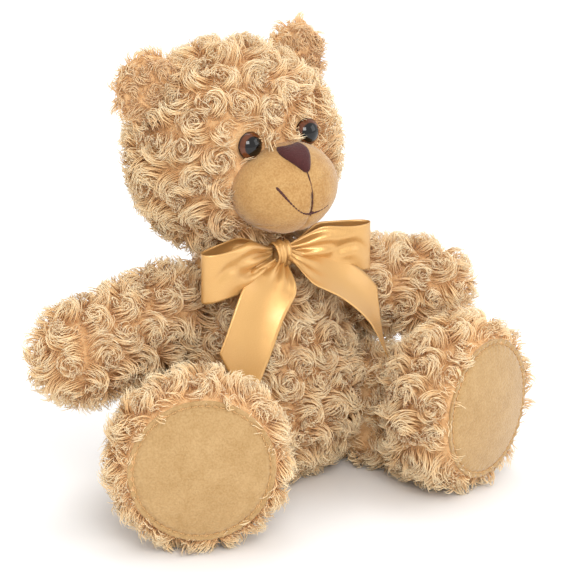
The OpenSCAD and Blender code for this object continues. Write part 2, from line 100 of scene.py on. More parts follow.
class Wire:
    """A node's output. Sums written on it add Math nodes to its tree."""

    def __init__(self, tree, out=None):
        self.tree, self.out = tree, out

    def node(self, kind, settings=None, sockets=None, out=0):
        made = self.tree.nodes.new(kind)
        for name, value in (settings or {}).items():
            setattr(made, name, value)
        for name, value in (sockets or {}).items():
            if isinstance(value, Wire):
                self.tree.links.new(value.out, made.inputs[name])
            else:
                made.inputs[name].default_value = value
        return Wire(self.tree, made.outputs[out] if made.outputs else None)

    def pick(self, out):
        return Wire(self.tree, self.out.node.outputs[out])

    def sum(self, how, *parts):
        return self.node("ShaderNodeMath", {"operation": how}, dict(enumerate(parts)))

    def __add__(self, other):
        return self.sum("ADD", self, other)

    __radd__ = __add__

    def __sub__(self, other):
        return self.sum("SUBTRACT", self, other)

    def __rsub__(self, other):
        return self.sum("SUBTRACT", other, self)

    def __mul__(self, other):
        return self.sum("MULTIPLY", self, other)

    __rmul__ = __mul__

    def __truediv__(self, other):
        return self.sum("DIVIDE", self, other)

    def __rtruediv__(self, other):
        return self.sum("DIVIDE", other, self)

    def __pow__(self, other):
        return self.sum("POWER", self, other)

    def between(self, low, high):
        """0 below low, 1 above high and smooth between them."""
        return self.node(
            "ShaderNodeMapRange", {"interpolation_type": "SMOOTHSTEP"},
            {"Value": self, "From Min": low, "From Max": high})

    def tint(self, low, high):
        """The colour low where this is 0 and high where it is 1."""
        return self.node("ShaderNodeMix", {"data_type": "RGBA"}, {0: self, 6: low, 7: high}, 2)

    def vector(self, how, *parts):
        value = how in ("DOT_PRODUCT", "LENGTH")
        return self.node("ShaderNodeVectorMath", {"operation": how}, dict(enumerate(parts)), int(value))

    def stretch(self, vector, size):
        return self.node("ShaderNodeVectorMath", {"operation": "SCALE"}, {0: vector, 3: size})

    def noise(self, scale, detail, **more):
        """Soft noise at this place."""
        return self.node(
            "ShaderNodeTexNoise", None, {"Vector": self, "Scale": scale, "Detail": detail, **more})


def dye(red, green, blue):
    """A colour as a dyer's chart gives it, 0 to 255, as light."""
    return tuple((c / 255) ** 2.2 for c in (red, green, blue)) + (1,)


def finish(name, colour, **constant):
    """A material whose shader takes these constants. Returns it, a wire in its tree and its shader."""
    material = bpy.data.materials.new(name)
    material.use_nodes = True
    shader = material.node_tree.nodes["Principled BSDF"]
    shader.inputs["Base Color"].default_value = colour
    for socket, value in constant.items():
        shader.inputs[socket.replace("_", " ")].default_value = value
    return material, Wire(material.node_tree), shader


def feed(shader, socket, wire):
    wire.tree.links.new(wire.out, shader.inputs[socket])


def raise_grain(shader, wire, height, depth):
    """Bumps of this depth in metres."""
    bump = wire.node("ShaderNodeBump", None, {"Height": height, "Distance": depth, "Strength": 1.0})
    feed(shader, "Normal", bump)


def fix(piece, body, slot, *nodes):
    """Says which body a piece moves with and the solids that it stands for. Its slot, what it is made of, is
    not used.
    """
    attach(piece, body)
    if nodes:
        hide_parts(*nodes)


def wear(node, material):
    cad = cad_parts[node]
    cad.data.materials.clear()
    cad.data.materials.append(material)


fibreboard, wire, shader = finish("fibreboard", dye(176, 148, 106), Roughness=0.85)
place = wire.node("ShaderNodeTexCoord", out="Object")
fibres = place.noise(900.0, 4.0)
flecks = wire.node("ShaderNodeTexVoronoi", None, {"Vector": place, "Scale": 600.0})
feed(shader, "Base Color", (fibres * 0.7 + flecks * 0.5).tint(dye(140, 112, 76), dye(196, 170, 128)))
raise_grain(shader, wire, fibres, 0.0003)

ring_plastic, wire, shader = finish("ring_plastic", dye(232, 231, 226), Roughness=0.38)
place = wire.node("ShaderNodeTexCoord", out="Object")
clouds = place.noise(160.0, 3.0)
feed(shader, "Base Color", clouds.tint(dye(224, 223, 216), dye(240, 239, 235)))
feed(shader, "Roughness", clouds * 0.2 + 0.3)
raise_grain(shader, wire, clouds, 0.0001)

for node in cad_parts:
    if "_disc" in node or ("washer" in node and "eye" not in node):
        wear(node, fibreboard)
    elif "lock_ring" in node or "eye_washer" in node:
        wear(node, ring_plastic)

# ---- Torso ----
# A pear of curly plush, sewn inside out, turned and stuffed hard with batting. The pile is
# woven in little whorls, and the seams and the three joints pull the cover in.

mm = 0.001
PLUSH_DEEP = 5.0  # from the middle of the pile in to the cloth that it grows on
seat_clear = 0.8
neck = Vector((0, 6, 117))
neck_r, neck_h = 26, 9


def egg(centre, width, depth, height):
    """Points all over an egg, in millimetres."""
    ball = bmesh.new()
    bmesh.ops.create_icosphere(ball, subdivisions=4, radius=0.5)
    points = [Vector(centre) + Vector((v.co.x * width, v.co.y * depth, v.co.z * height)) for v in ball.verts]
    ball.free()
    return points


def new_piece(name, mesh):
    piece = bpy.data.objects.new(name, mesh)
    bpy.context.scene.collection.objects.link(piece)
    return piece


def wrapped(name, points):
    """The tightest skin round these points, in metres."""
    skin = bmesh.new()
    for p in points:
        skin.verts.new(p * mm)
    done = bmesh.ops.convex_hull(skin, input=skin.verts)
    bmesh.ops.delete(skin, geom=[v for v in skin.verts if not v.link_faces], context="VERTS")
    bmesh.ops.recalc_face_normals(skin, faces=skin.faces)
    mesh = bpy.data.meshes.new(name)
    skin.to_mesh(mesh)
    skin.free()
    return new_piece(name, mesh)


def prism(outline, low, high, origin, across, along, up):
    """A closed bar: an outline in two directions, from low to high in the third, in millimetres."""
    bar = bmesh.new()
    rings = [
        [bar.verts.new((origin + across * x + along * y + up * z) * mm) for x, y in outline]
        for z in (low, high)]
    bar.faces.new(rings[0])
    bar.faces.new(rings[1])
    for i in range(len(outline)):
        j = (i + 1) % len(outline)
        bar.faces.new((rings[0][i], rings[0][j], rings[1][j], rings[1][i]))
    bmesh.ops.recalc_face_normals(bar, faces=bar.faces)
    mesh = bpy.data.meshes.new("bar")
    bar.to_mesh(mesh)
    bar.free()
    return new_piece("bar", mesh)


def settle(piece):
    """Turns a piece's modifiers into its mesh."""
    bpy.context.view_layer.update()
    graph = bpy.context.evaluated_depsgraph_get()
    made = piece.evaluated_get(graph)
    mesh = bpy.data.meshes.new_from_object(made, preserve_all_data_layers=True, depsgraph=graph)
    piece.modifiers.clear()
    piece.data = mesh
    return piece


def cut(piece, tool):
    trim = piece.modifiers.new("cut", "BOOLEAN")
    trim.operation, trim.object, trim.solver = "DIFFERENCE", tool, "EXACT"
    settle(piece)
    bpy.data.objects.remove(tool)


def cut_beyond(piece, origin, way):
    """Cuts off what lies beyond a plane, on the side that way points to."""
    up = Vector(way).normalized()
    across = up.orthogonal().normalized()
    past = 300  # further than the bear reaches
    square = [(-past, -past), (past, -past), (past, past), (-past, past)]
    cut(piece, prism(square, 0, past, Vector(origin), across, up.cross(across), up))


def round_off(piece, fineness, times):
    """Makes the skin even, with soft edges."""
    even = piece.modifiers.new("even", "REMESH")
    even.mode, even.voxel_size = "VOXEL", fineness * mm
    soft = piece.modifiers.new("soft", "SMOOTH")
    soft.factor, soft.iterations = 0.5, times
    settle(piece)


def stuff(piece, seam, swell):
    """Blows the cover up against its seams, as stuffing does. seam says how firmly each point is sewn."""
    start = [v.co.copy() for v in piece.data.vertices]
    held = piece.vertex_groups.new(name="sewn")
    for v in piece.data.vertices:
        held.add([v.index], seam(v.co / mm), "REPLACE")
    cloth = piece.modifiers.new("stuffing", "CLOTH")
    cloth.settings.quality = 4
    cloth.settings.use_pressure, cloth.settings.uniform_pressure_force = True, 4
    cloth.settings.effector_weights.gravity = 0
    cloth.settings.vertex_group_mass = "sewn"
    cloth.settings.tension_stiffness = cloth.settings.compression_stiffness = 12
    cloth.collision_settings.use_collision = False
    for step in range(1, 21):
        bpy.context.scene.frame_set(step)
    settle(piece)
    bpy.context.scene.frame_set(1)
    piece.vertex_groups.clear()
    for v, was in zip(piece.data.vertices, start):
        moved = v.co - was
        if moved.length > swell * mm:
            v.co = was + moved.normalized() * swell * mm


def near(distance, reach):
    """1 at a seam and 0 from reach on."""
    return max(0.0, 1 - abs(distance) / reach)


def mirrored(vector, side):
    return Vector((vector[0] * side, vector[1], vector[2]))


hip_splay, hip_in, thigh_r, hip_room = math.radians(23), 14, 31, 3
hip_centre = Vector((46, -6, 31.5))


def hip(side):
    """The hip joint's middle, the way along the leg and the way out along the joint."""
    out = mirrored((math.cos(hip_splay), math.sin(hip_splay), 0), side)
    along = mirrored((math.sin(hip_splay), -math.cos(hip_splay), 0), side)
    return mirrored(hip_centre, side) - out * hip_in, along, out


shoulder_slope, shoulder_in = math.radians(30), 12
shoulder_centre = Vector((47, 2, 91))


def shoulder(side):
    out = mirrored((math.cos(shoulder_slope), 0, math.sin(shoulder_slope)), side)
    return mirrored(shoulder_centre, side) - out * shoulder_in, out


inset = 2 * PLUSH_DEEP
belly = egg((0, 0, 43), 120 - inset, 106 - inset, 102 - inset)
chest = egg((0, 2, 94), 84 - inset, 74 - inset, 56 - inset)
torso = wrapped("torso_skin", belly + chest)
UP = Vector((0, 0, 1))
for side in (1, -1):
    middle, along, out = hip(side)
    r = thigh_r + hip_room
    arc = [(r * math.cos(a), r * math.sin(a)) for a in (math.pi / 2 * (1 + i / 10) for i in range(11))]
    cut(torso, prism([(200, r)] + arc + [(-r, -200), (200, -200)], -0.7, 150, middle, along, UP, out))
    middle, out = shoulder(side)
    cut_beyond(torso, middle - out * 0.7, out)
cut_beyond(torso, (0, 0, seat_clear), (0, 0, -1))
cut_beyond(torso, (0, 0, neck.z - 0.7), (0, 0, 1))
round_off(torso, 3, 3)
for v in torso.data.vertices:
    # the neck stub passes through the ribbon, and the seat is flat on the table
    if v.co.z > (neck.z - neck_h - 2) * mm:
        from_neck = Vector((v.co.x, v.co.y - neck.y * mm, 0))
        if from_neck.length > (neck_r - 0.6) * mm:
            from_neck = from_neck.normalized() * (neck_r - 0.6) * mm
        v.co.x, v.co.y = from_neck.x, from_neck.y + neck.y * mm


def torso_seams(p):
    flat = max(near(p.z, 3), near(p.z - neck.z, 10))
    for side in (1, -1):
        middle, along, out = hip(side)
        flat = max(flat, near((p - middle).dot(out), 3))
        middle, out = shoulder(side)
        flat = max(flat, near((p - middle).dot(out), 3))
    return max(flat, near(p.x, 3) * 0.8)


stuff(torso, torso_seams, 3)

# The backing is coloured darker than the pile as painted shade: it shows only in the gaps between the locks,
# where it stands for their shadowed roots.
root_shade_backing, wire, shader = finish("plush_backing_root_shade", dye(188, 142, 96), Roughness=0.95)
place = wire.node("ShaderNodeTexCoord", out="Object")
knit = wire.node("ShaderNodeTexVoronoi", None, {"Vector": place, "Scale": 700.0})
tufts = place.noise(260.0, 3.0)
feed(shader, "Base Color", tufts.between(0.35, 0.65).tint(dye(196, 150, 102), dye(222, 180, 130)))
raise_grain(shader, wire, knit, 0.0006)


def lay_cloth(piece, material, body, slot, *nodes):
    """Gives a finished skin its material, its body and the solids that it stands for."""
    piece.data.materials.clear()
    piece.data.materials.append(material)
    for face in piece.data.polygons:
        face.use_smooth = True
    fix(piece, body, slot, *nodes)


def pile_on(skin, length):
    """Writes on the skin how long the pile is at each point, from 0 for bare to 1."""
    mark = skin.data.attributes.new("pile", "FLOAT", "POINT")
    for v, value in zip(skin.data.vertices, mark.data):
        value.value = max(0.0, min(1.0, length(v.co / mm)))


# The pile grows on the skin as locks of hair. Every lock curls round the middle of its whorl,
# rises as it goes, and draws its hairs together towards its tip.

POINTS_ON_A_HAIR = 5
curly = bpy.data.node_groups.new("curly_pile", "GeometryNodeTree")
curly.interface.new_socket("Cloth", in_out="INPUT", socket_type="NodeSocketGeometry")
curly_sizes = {}
for name, size in (
    ("Whorl spacing", 0.0125), ("Lock spacing", 0.0030), ("Hairs per square metre", 5.6e5), ("Rise", 0.0075),
    ("Length", 0.014), ("Hair radius", 0.00029), ("Waviness", 0.0009), ("Clump", 0.5), ("Floor", 0.0006),
):
    socket = curly.interface.new_socket(name, in_out="INPUT", socket_type="NodeSocketFloat")
    socket.default_value = size
    curly_sizes[name] = socket.identifier
for name, kind in (("Seed", "NodeSocketInt"), ("Dye", "NodeSocketMaterial")):
    socket = curly.interface.new_socket(name, in_out="INPUT", socket_type=kind)
    curly_sizes[name] = socket.identifier
curly.interface.new_socket("Pile", in_out="OUTPUT", socket_type="NodeSocketGeometry")

g = Wire(curly)
given = g.node("NodeGroupInput")
cloth, rise, seed = given.pick("Cloth"), given.pick("Rise"), given.pick("Seed")
here = g.node("GeometryNodeInputPosition")


def kept(name, kind="FLOAT"):
    return g.node("GeometryNodeInputNamedAttribute", {"data_type": kind}, {"Name": name})


def keep(geometry, name, value, kind="FLOAT", domain="POINT"):
    return g.node(
        "GeometryNodeStoreNamedAttribute", {"data_type": kind, "domain": domain},
        {"Geometry": geometry, "Name": name, "Value": value})


def lottery(low, high, number, kind="FLOAT"):
    first = 0 if kind == "FLOAT_VECTOR" else 2
    sockets = {first: low, first + 1: high, "Seed": number}
    return g.node("FunctionNodeRandomValue", {"data_type": kind}, sockets, first // 2)


def nearest(geometry):
    return g.node("GeometryNodeSampleNearest", None, {"Geometry": geometry, "Sample Position": here})


def read(geometry, value, index, kind="FLOAT"):
    return g.node(
        "GeometryNodeSampleIndex", {"data_type": kind},
        {"Geometry": geometry, "Value": value, "Index": index})


whorls = g.node(
    "GeometryNodeDistributePointsOnFaces", {"distribute_method": "POISSON"},
    {"Mesh": cloth, "Distance Min": given.pick("Whorl spacing"), "Density Max": 1e5, "Seed": seed})
locks = g.node(
    "GeometryNodeDistributePointsOnFaces", {"distribute_method": "POISSON"},
    {"Mesh": cloth, "Distance Min": given.pick("Lock spacing"), "Density Max": 1e6, "Seed": seed + 1})
outward = locks.pick("Normal")
whorl = nearest(whorls)
locks = keep(locks, "out", outward, "FLOAT_VECTOR")
locks = keep(locks, "centre", read(whorls, here, whorl, "FLOAT_VECTOR"), "FLOAT_VECTOR")
locks = keep(locks, "hand", read(whorls, lottery(-1.0, 1.0, seed + 2), whorl))
locks = keep(locks, "lot", lottery(0.0, 1.0, seed + 3))

density = given.pick("Hairs per square metre") * kept("pile").between(0.02, 0.3)
hairs = g.node(
    "GeometryNodeDistributePointsOnFaces", {"distribute_method": "RANDOM"},
    {"Mesh": cloth, "Density": density, "Seed": seed + 4})
lock = nearest(locks)
hairs = keep(hairs, "number", g.node("GeometryNodeInputIndex"), "INT")
for name, kind in (("out", "FLOAT_VECTOR"), ("centre", "FLOAT_VECTOR"), ("hand", "FLOAT"), ("lot", "FLOAT")):
    hairs = keep(hairs, name, read(locks, kept(name, kind), lock, kind), kind)
hairs = keep(hairs, "lock", read(locks, here, lock, "FLOAT_VECTOR"), "FLOAT_VECTOR")
any_way = lottery((-1.0, -1.0, -1.0), (1.0, 1.0, 1.0), seed + 5, "FLOAT_VECTOR")
hairs = keep(hairs, "stray", any_way, "FLOAT_VECTOR")
patches = here.noise(45.0, 1.0)
tone = 0.3 * lottery(0.0, 1.0, seed + 6) + 0.25 * kept("lot") + 0.6 * patches - 0.08
hairs = keep(hairs, "tone", tone)

stepped = g.node(
    "GeometryNodeDuplicateElements", {"domain": "POINT"}, {"Geometry": hairs, "Amount": POINTS_ON_A_HAIR})
along = stepped.pick("Duplicate Index") / (POINTS_ON_A_HAIR - 1)
stepped = keep(stepped, "along", along)
along = kept("along")
out, centre = kept("out", "FLOAT_VECTOR"), kept("centre", "FLOAT_VECTOR")
lot, pile = kept("lot"), kept("pile")
drawn = g.node(
    "ShaderNodeMix", {"data_type": "VECTOR"},
    {0: along ** 0.8 * given.pick("Clump"), 4: here, 5: kept("lock", "FLOAT_VECTOR")}, 1)
spoke = g.vector("SUBTRACT", drawn, centre)
spoke = g.vector("SUBTRACT", spoke, g.stretch(out, g.vector("DOT_PRODUCT", spoke, out)))
radius = g.vector("LENGTH", spoke)
FURTHEST_TURN = 2.5
sweep = g.sum("MINIMUM", given.pick("Length") / (radius + 0.0035), FURTHEST_TURN)
angle = kept("hand").sum("SIGN", kept("hand")) * sweep * along * (0.7 + 0.6 * lot) * (0.4 + 0.6 * pile)
inward = 1 - 0.25 * along
lift = rise * pile * (0.75 + 0.5 * lot) * (1.75 * along - 0.85 * along * along)
round_centre = g.stretch(g.vector("CROSS_PRODUCT", out, spoke), g.sum("SINE", angle) * inward)
moved = g.vector("ADD", g.stretch(spoke, g.sum("COSINE", angle) * inward - 1), round_centre)
moved = g.vector("ADD", moved, g.stretch(out, lift))
wave = lot * 6.3 + along * 5.5
ripple = given.pick("Waviness") * along
moved = g.vector("ADD", moved, g.stretch(g.vector("NORMALIZE", spoke), g.sum("COSINE", wave) * ripple))
moved = g.vector("ADD", moved, g.stretch(out, g.sum("SINE", wave) * ripple))
moved = g.vector("ADD", moved, g.stretch(kept("stray", "FLOAT_VECTOR"), along * 0.0020))
tip = g.vector("ADD", drawn, moved)
height = g.node("ShaderNodeSeparateXYZ", None, {0: tip})
over_floor = g.sum("MAXIMUM", height.pick("Z"), given.pick("Floor"))
tip = g.node("ShaderNodeCombineXYZ", None, {"X": height, "Y": height.pick("Y"), "Z": over_floor})
stepped = g.node("GeometryNodeSetPosition", None, {"Geometry": stepped, "Position": tip})
curves = g.node(
    "GeometryNodePointsToCurves", None,
    {"Points": stepped, "Curve Group ID": kept("number", "INT"), "Weight": along})
thick = given.pick("Hair radius") * (0.8 + 0.8 * along - 1.4 * along * along)
ring = g.node("GeometryNodeCurvePrimitiveCircle", None, {"Resolution": 3, "Radius": 1.0})
ring = keep(ring, "round", g.node("GeometryNodeInputIndex") * 0.33)
pelt = g.node(
    "GeometryNodeCurveToMesh", None,
    {"Curve": curves, "Profile Curve": ring, "Scale": thick, "Fill Caps": True})
chart = g.node(
    "ShaderNodeCombineXYZ", None,
    {"X": kept("along") * 0.98 + 0.01, "Y": (kept("tone") * 0.9 + kept("round") * 0.06 + 0.02)})
pelt = keep(pelt, "OFBake", chart, "FLOAT2", "CORNER")
pelt = g.node("GeometryNodeSetShadeSmooth", None, {0: pelt})
pelt = g.node("GeometryNodeRealizeInstances", None, {"Geometry": pelt})
pelt = g.node("GeometryNodeSetMaterial", None, {"Geometry": pelt, "Material": given.pick("Dye")})
g.node("NodeGroupOutput", None, {"Pile": pelt})


def plush(name, shaded_root, middle, tip):
    """Curly plush, darker at the roots as painted shade between the locks and paler at the tips as painted
    highlight. Locks differ a little.
    """
    material, wire, shader = finish(name, middle, Roughness=0.62, Sheen_Weight=0.25, Sheen_Roughness=0.5)
    chart = wire.node("ShaderNodeUVMap", {"uv_map": "OFBake"})
    split = wire.node("ShaderNodeSeparateXYZ", None, {0: chart})
    along, tone = split, split.pick("Y")
    # painted shade darkens each hair towards its root, and painted highlight brightens it towards its tip
    low = along.between(0.0, 0.55).tint(shaded_root, middle)
    full = wire.node("ShaderNodeMix", {"data_type": "RGBA"}, {0: along.between(0.4, 1.0), 6: low, 7: tip}, 2)
    shade = 0.86 + 0.26 * tone
    grey = wire.node("ShaderNodeCombineColor", None, {0: shade, 1: shade ** 1.15, 2: shade ** 1.4})
    darker = {"data_type": "RGBA", "blend_type": "MULTIPLY"}
    feed(shader, "Base Color", wire.node("ShaderNodeMix", darker, {0: 1.0, 6: full, 7: grey}, 2))
    return material


# the root colour is painted shade and the tip colour is painted highlight
honey_plush = plush("honey_plush", dye(226, 176, 118), dye(242, 205, 152), dye(250, 230, 190))


def grow(name, skin, body, slot, material, seed, part=None, **sizes):
    """Grows pile on a skin, or on the part of it that part() keeps, as a piece of its own."""
    mesh = skin.data.copy()
    if part:
        field = bmesh.new()
        field.from_mesh(mesh)
        bare = [f for f in field.faces if not part(f.calc_center_median() / mm)]
        bmesh.ops.delete(field, geom=bare, context="FACES")
        field.to_mesh(mesh)
        field.free()
    coat = new_piece(name, mesh)
    pile = coat.modifiers.new("pile", "NODES")
    pile.node_group = curly
    pile[curly_sizes["Seed"]], pile[curly_sizes["Dye"]] = seed, material
    for size, value in sizes.items():
        pile[curly_sizes[size.replace("_", " ")]] = value
    settle(coat)
    growing = ("out", "centre", "hand", "lot", "number", "lock", "stray", "tone", "along", "round", "pile")
    for extra in growing:
        if extra in coat.data.attributes:
            coat.data.attributes.remove(coat.data.attributes[extra])
    coat.data.materials.clear()
    coat.data.materials.append(material)
    fix(coat, body, slot)
    return coat


def torso_pile(p):
    """Bare where a joint or the seat presses, and short next to that."""
    length = 1.0
    for side in (1, -1):
        middle, along, out = hip(side)
        d = p - middle
        if d.dot(out) > -3 and d.dot(along) > -thigh_r and d.z < thigh_r:
            length = min(length, max(0.0, ((d - out * d.dot(out)).length - thigh_r + 4) / 10))
        middle, out = shoulder(side)
        away = (p - middle).dot(out)
        if away > -2.5:
            length = min(length, max(0.0, ((p - middle).length - 19) / 6))
    if p.z > neck.z - neck_h - 1:
        length = 0.0
    return min(length, 0.25 + max(0.0, (p.z - 2) / 8)) if p.z > 1.6 else 0.0


pile_on(torso, torso_pile)
grow("torso_pile_front", torso, "torso", "plush", honey_plush, 11, lambda p: p.y < 7)
grow("torso_pile_back", torso, "torso", "plush", honey_plush, 12, lambda p: p.y >= 7)
lay_cloth(torso, root_shade_backing, "torso", "plush", "torso_cover", "torso_stuffing")

# ---- Head ----
# A big round head of the same plush, cut in two cheeks and a gusset that runs from the nose
# over the crown. It is drawn in round the neck joint, and two holes take the eyes' shanks.

lean = Matrix()
for degrees, axis in ((3.5, "Z"), (-3, "Y"), (-6, "X")):
    lean = lean @ Matrix.Rotation(math.radians(degrees), 4, axis)
head_at = Matrix.Translation((0, 20, 164.5)) @ lean
to_head = head_at.inverted()
muzzle_at, muzzle_w, muzzle_d, muzzle_h = Vector((0, -43, -14)), 56, 50, 45
eye_at, eye_d, eye_dome = Vector((17, -42, 10)), 14, 4.5


def on_head(points):
    return [head_at @ p for p in points]


skull = on_head(egg((0, 0, 0), 109 - inset, 103 - inset, 110 - inset))
chin = egg((0, 4, 137), 62 - inset, 58 - inset, 46 - inset)
head = wrapped("head_skin", skull + chin)
cut_beyond(head, (0, 0, neck.z + 0.7), (0, 0, -1))
round_off(head, 3, 3)


def head_seams(p):
    q = to_head @ p
    gusset = near(abs(q.x) - 17 - 0.12 * max(q.z, 0), 3) if q.z > 12 or q.y > 20 else 0
    return max(near(p.z - neck.z, 4), gusset * 0.8, near((q - muzzle_at).length - 27, 5))


stuff(head, head_seams, 3)


def muzzle_depth(q):
    """Where a point of the head is to the muzzle: under 1 inside it."""
    d = q - muzzle_at
    return math.sqrt((2 * d.x / muzzle_w) ** 2 + (2 * d.y / muzzle_d) ** 2 + (2 * d.z / muzzle_h) ** 2)


def head_pile(p):
    """No pile under the muzzle, behind the eyes or on the neck joint, and short pile round them."""
    q = to_head @ p
    length = min(1.0, max(0.0, (muzzle_depth(q) - 0.99) * 5))
    for side in (1, -1):
        if q.y < -20:
            off = math.hypot(q.x - side * eye_at.x, q.z - eye_at.z)
            length = min(length, max(0.0, (off - 6.8) / 7))
    if p.z < neck.z + 6:
        length = min(length, max(0.0, ((p - neck).length - 22) / 8))
    return length


pile_on(head, head_pile)
for name, seed, part in (
    ("face", 21, lambda q: q.y < -4),
    ("crown", 22, lambda q: q.y >= -4 and q.z > 8),
    ("nape", 23, lambda q: q.y >= -4 and q.z <= 8),
):
    grow(f"head_pile_{name}", head, "head", "plush", honey_plush, seed, lambda p: part(to_head @ p))
lay_cloth(head, root_shade_backing, "head", "plush", "head_cover", "head_stuffing")

# ---- Ears ----
# Two layers of plush sewn round their edge, turned and sewn to the head. The back layer is
# full, the front one is cut smaller, so it pulls the ear into a dish.

# the root colour is painted shade and the tip colour is painted highlight
inner_plush = plush("inner_plush", dye(192, 140, 90), dye(220, 176, 124), dye(236, 204, 158))
ear_w, ear_t, ear_h, ear_inset = 42, 19, 44, 7
ear_dish = ear_w * 0.62
for side, name in ((1, "left"), (-1, "right")):
    ear_at = head_at @ Matrix.Translation((side * 44, 0, 38)) @ (
        Matrix.Rotation(math.radians(side * 12), 4, "Z") @ Matrix.Rotation(math.radians(side * 28), 4, "Y"))
    to_ear = ear_at.inverted()
    for half, front in (("back", False), ("lining", True)):
        ear = egg((0, 0, 0), ear_w - ear_inset, ear_t - ear_inset, ear_h - ear_inset)
        shell = wrapped(f"ear_{half}_skin_{name}", [ear_at @ p for p in ear])
        forward = (ear_at.to_3x3() @ Vector((0, -1, 0))) * (1 if front else -1)
        cut_beyond(shell, ear_at @ Vector((0, -1.5, 0)), -forward)
        if front:
            ball = egg((0, -ear_t / 2 - ear_dish + 4, -2), 2 * ear_dish, 2 * ear_dish, 2 * ear_dish)
            cut(shell, wrapped("ball", [ear_at @ p for p in ball]))
        round_off(shell, 1.6, 2)

        def ear_pile(p):
            q, h = to_ear @ p, to_head @ p
            sunk = math.sqrt((h.x / 52) ** 2 + (h.y / 49) ** 2 + (h.z / 52) ** 2)
            rim = math.hypot(2 * q.x / (ear_w - ear_inset), 2 * q.z / (ear_h - ear_inset))
            if abs(q.y + 1.5) < 1 and rim < 0.86 or sunk < 1:
                return 0.0
            return 0.62 if front and rim < 0.75 else 0.8

        pile_on(shell, ear_pile)
        dyed, slot = (inner_plush, "plush_dark") if front else (honey_plush, "plush")
        seed = 31 + side + 5 * front
        grow(f"ear_{half}_pile_{name}", shell, "head", slot, dyed, seed, Length=0.01, Rise=0.0045)
        lay_cloth(shell, root_shade_backing, "head", slot, f"ear_{half}_{name}")

# ---- Muzzle ----
# Short soft suede cloth, stuffed firm. One seam runs down the middle from the nose, another
# joins the chin piece, and the edge is sewn to the head all round.

muzzle_rings, muzzle_spokes = 72, 144


def muzzle_point(down, turn):
    """down is the angle from the muzzle's tip in radians, turn the angle round it from straight down."""
    return muzzle_at + Vector((
        math.sin(down) * math.sin(turn) * muzzle_w / 2,
        -math.cos(down) * muzzle_d / 2,
        -math.sin(down) * math.cos(turn) * muzzle_h / 2))


def muzzle_front(x, z):
    """The point of the muzzle's front at this place of the face."""
    share = 1 - (2 * (x - muzzle_at.x) / muzzle_w) ** 2 - (2 * (z - muzzle_at.z) / muzzle_h) ** 2
    return Vector((x, muzzle_at.y - muzzle_d / 2 * math.sqrt(max(0.05, share)), z))


def muzzle_normal(p):
    d = p - muzzle_at
    return Vector((d.x / muzzle_w ** 2, d.y / muzzle_d ** 2, d.z / muzzle_h ** 2)).normalized()


def seam_depth(q, turn):
    """How far a seam pulls the suede in at this point of the muzzle."""
    down = 0.95 * math.exp(-((q.x / 0.9) ** 2)) * (abs(turn) < 1.2) * min(1, max(0, (-4 - q.z) / 3))
    chin = 0.9 * math.exp(-(((q.z + 27.5 + 0.012 * q.x * q.x - 0.25 * (q.y + 60)) / 0.9) ** 2))
    swell = -0.8 * math.exp(-((abs(q.x) / 9 - 0.9) ** 2)) * (q.z < -8) * (q.y < -50)
    return down + chin * min(1, max(0, (abs(q.x) - 12) / 6)) + swell


def rolled(name, point, rings, spokes, closed_start=True):
    """A skin of rings round an axis, closed to a point at its start."""
    skin = bmesh.new()
    rows = [
        [skin.verts.new(point(i / rings, j / spokes)) for j in range(spokes)]
        for i in range(1, rings + 1)]
    top = skin.verts.new(point(0, 0))
    for j in range(spokes):
        k = (j + 1) % spokes
        skin.faces.new((top, rows[0][j], rows[0][k]))
        for i in range(rings - 1):
            skin.faces.new((rows[i][j], rows[i + 1][j], rows[i + 1][k], rows[i][k]))
    last = skin.verts.new(sum((v.co for v in rows[-1]), Vector()) / spokes)
    for j in range(spokes):
        skin.faces.new((rows[-1][(j + 1) % spokes], rows[-1][j], last))
    bmesh.ops.recalc_face_normals(skin, faces=skin.faces)
    mesh = bpy.data.meshes.new(name)
    skin.to_mesh(mesh)
    skin.free()
    for face in mesh.polygons:
        face.use_smooth = True
    return new_piece(name, mesh)


def muzzle_surface(t, s):
    turn = 2 * math.pi * s
    q = muzzle_point(t * 2.0, turn)
    inward = muzzle_normal(q) * seam_depth(q, (turn + math.pi) % (2 * math.pi) - math.pi)
    return (head_at @ (q - inward)) * mm


muzzle = rolled("muzzle_suede", muzzle_surface, muzzle_rings, muzzle_spokes)


def suede(name, light, dark):
    """Brushed suede cloth: short nap that lies in patches, paler where it catches the light."""
    material, wire, shader = finish(name, light, Roughness=0.9, Sheen_Weight=0.35, Sheen_Roughness=0.4)
    place = wire.node("ShaderNodeTexCoord", out="Object")
    nap = place.noise(1000.0, 2.0)
    brushed = place.noise(140.0, 5.0, Roughness=0.6)
    flow = place.noise(38.0, 2.0, Distortion=1.5)
    amount = 0.3 * brushed.between(0.3, 0.7) + 0.2 * flow.between(0.3, 0.7) + 0.5 * nap.between(0.3, 0.7)
    feed(shader, "Base Color", amount.tint(dark, light))
    raise_grain(shader, wire, nap * 0.8 + brushed * 0.4, 0.0006)
    return material


golden_suede = suede("golden_suede", dye(192, 152, 98), dye(160, 116, 64))
muzzle.data.materials.append(golden_suede)
fix(muzzle, "head", "suede", "muzzle")

# ---- Nose ----
# A rounded triangle of dark velvet, padded and sewn to the muzzle's tip with its straight
# edge on top. Its lower corner runs into the seam.

nose_w, nose_h, nose_t, nose_z, nose_round = 16, 12, 3.4, 1.5, 2.6


def nose_edge(turn):
    """The edge of a triangle with round corners, seen from the front, at this angle from its middle."""
    half, high = nose_w / 2 - nose_round, nose_h / 2 - nose_round
    corners = [Vector((-half, high)), Vector((half, high)), Vector((0, -high))]
    way = Vector((math.sin(turn), math.cos(turn)))
    reach = 0.0
    for step in range(1, 120):
        p = way * step * 0.1
        off = []
        for a, b in ((0, 1), (1, 2), (2, 0)):
            side = corners[b] - corners[a]
            share = max(0.0, min(1.0, (p - corners[a]).dot(side) / side.length_squared))
            off.append((p - corners[a] - side * share).length)
        if min(off) < nose_round:
            reach = step * 0.1
    return reach


